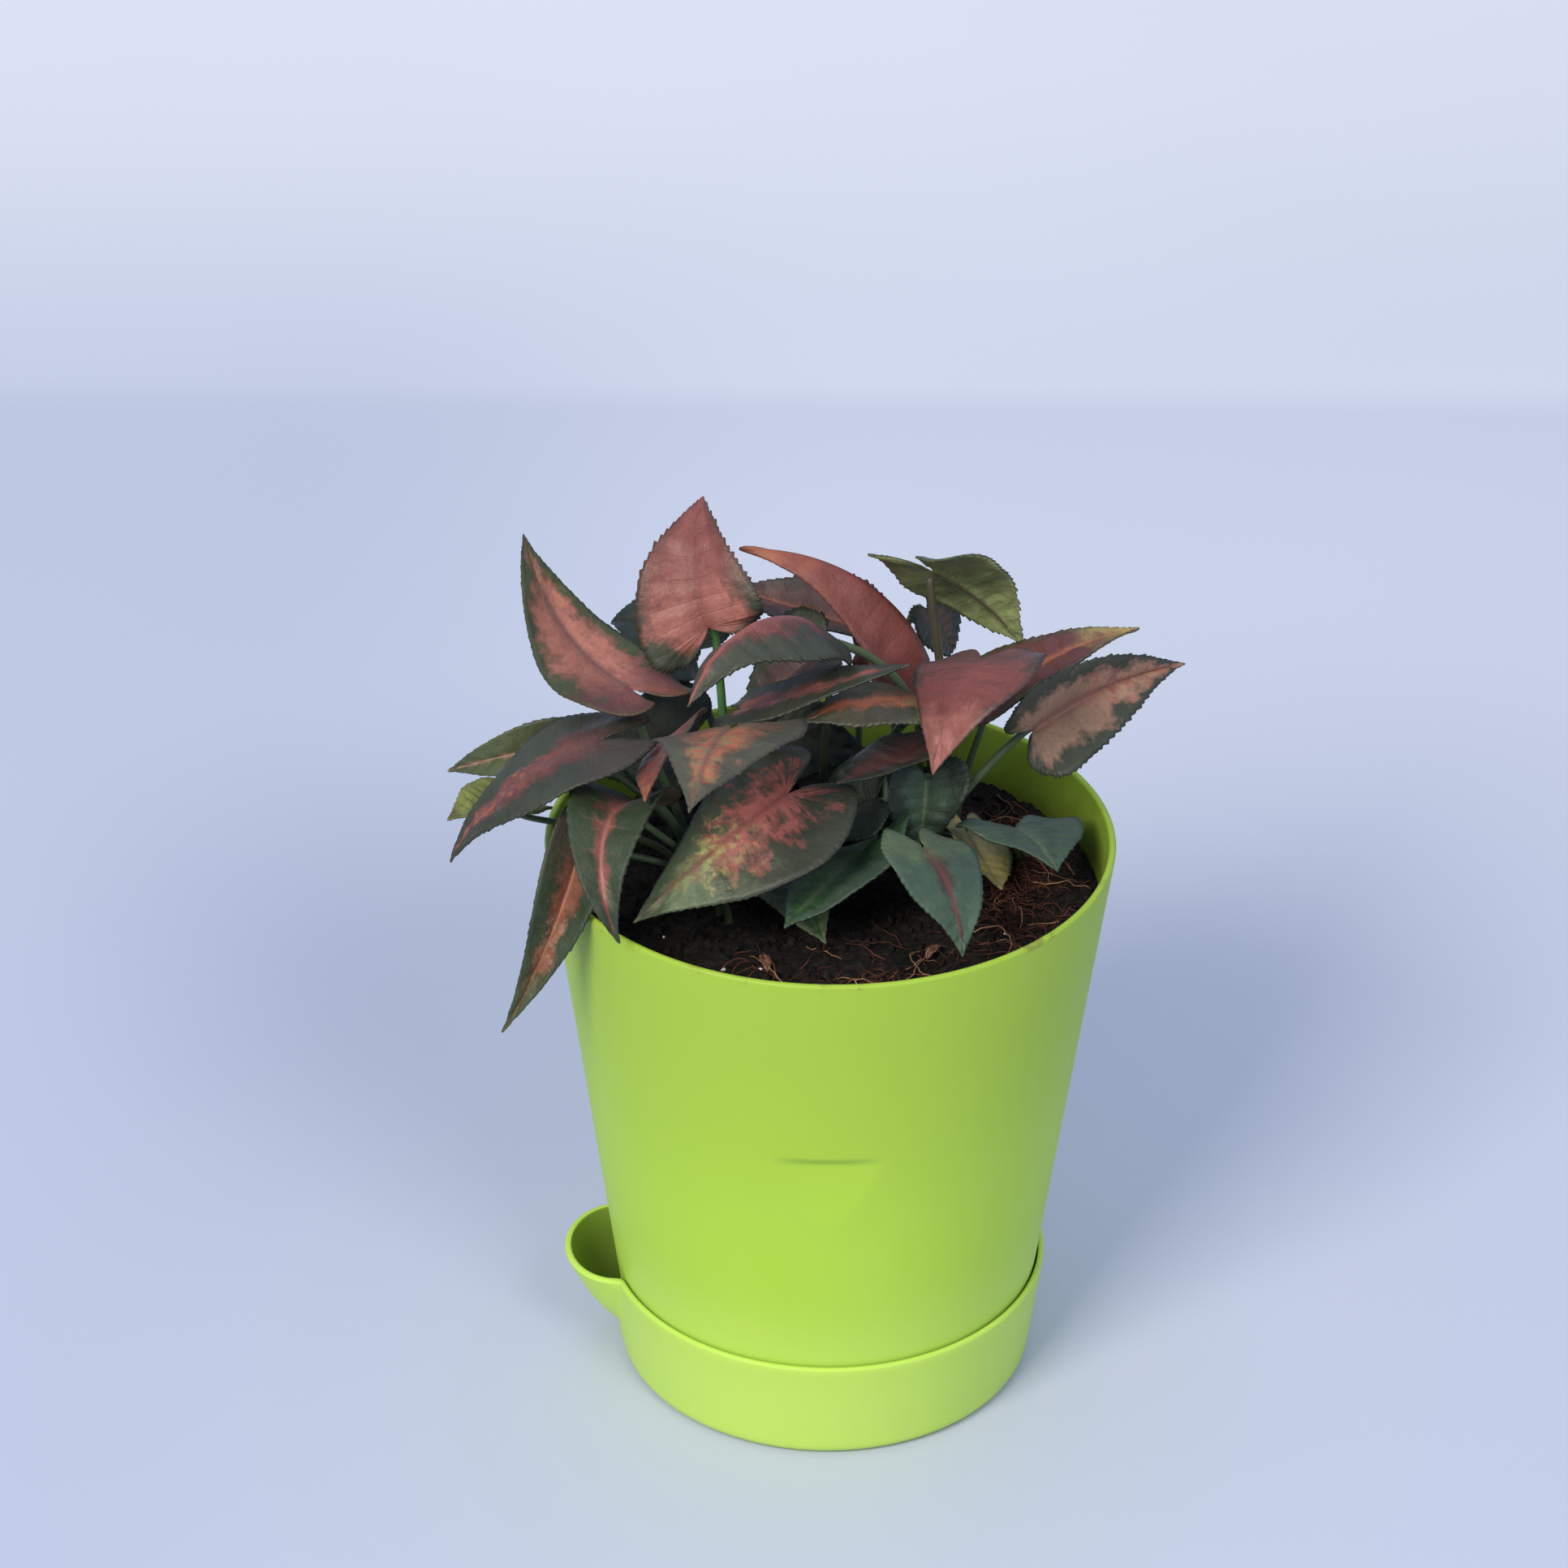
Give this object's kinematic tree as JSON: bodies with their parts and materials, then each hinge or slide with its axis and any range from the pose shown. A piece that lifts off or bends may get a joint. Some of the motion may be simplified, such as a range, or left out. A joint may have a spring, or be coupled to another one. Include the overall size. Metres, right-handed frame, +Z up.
{
  "type": "potted syngonium",
  "caption": "Young arrowhead vine with pink and dark green arrow-shaped leaves in a lime self-watering pot, standing in a saucer with a filler spout at its side.",
  "frame": {"origin": "centre of the saucer's flat underside, where the part rests", "axes": "+Z up along the pot's axis, -X toward the filler spout, -Y toward the front with the thumb recess"},
  "size_m": [0.1631, 0.1325, 0.2016],
  "materials": {
    "pot": "smooth satin",
    "saucer": "smooth satin",
    "soil": "crumbly peat with fibres",
    "leaf_01": "matt leaf skin",
    "leaf_02": "matt leaf skin",
    "leaf_03": "matt leaf skin",
    "leaf_04": "matt leaf skin",
    "leaf_05": "matt leaf skin",
    "leaf_06": "matt leaf skin",
    "leaf_07": "matt leaf skin",
    "leaf_08": "matt leaf skin",
    "leaf_09": "matt leaf skin",
    "leaf_10": "matt leaf skin",
    "leaf_11": "matt leaf skin",
    "leaf_12": "matt leaf skin",
    "leaf_13": "matt leaf skin",
    "leaf_14": "matt leaf skin",
    "leaf_15": "matt leaf skin",
    "leaf_16": "matt leaf skin",
    "leaf_17": "matt leaf skin",
    "leaf_18": "matt leaf skin",
    "leaf_19": "matt leaf skin",
    "leaf_20": "matt leaf skin",
    "leaf_21": "matt leaf skin",
    "leaf_22": "matt leaf skin",
    "leaf_23": "matt leaf skin",
    "leaf_24": "matt leaf skin",
    "leaf_25": "matt leaf skin",
    "leaf_26": "matt leaf skin",
    "leaf_27": "matt leaf skin",
    "leaf_28": "matt leaf skin",
    "leaf_29": "matt leaf skin",
    "leaf_30": "matt leaf skin",
    "leaf_31": "matt leaf skin",
    "leaf_32": "matt leaf skin"
  },
  "bodies": {
    "root": {"pot": "pot", "saucer": "saucer", "soil": "soil", "leaf_01": "leaf_01", "leaf_02": "leaf_02", "leaf_03": "leaf_03", "leaf_04": "leaf_04", "leaf_05": "leaf_05", "leaf_06": "leaf_06", "leaf_07": "leaf_07", "leaf_08": "leaf_08", "leaf_09": "leaf_09", "leaf_10": "leaf_10", "leaf_11": "leaf_11", "leaf_12": "leaf_12", "leaf_13": "leaf_13", "leaf_14": "leaf_14", "leaf_15": "leaf_15", "leaf_16": "leaf_16", "leaf_17": "leaf_17", "leaf_18": "leaf_18", "leaf_19": "leaf_19", "leaf_20": "leaf_20", "leaf_21": "leaf_21", "leaf_22": "leaf_22", "leaf_23": "leaf_23", "leaf_24": "leaf_24", "leaf_25": "leaf_25", "leaf_26": "leaf_26", "leaf_27": "leaf_27", "leaf_28": "leaf_28", "leaf_29": "leaf_29", "leaf_30": "leaf_30", "leaf_31": "leaf_31", "leaf_32": "leaf_32"}
  },
  "joints": []
}
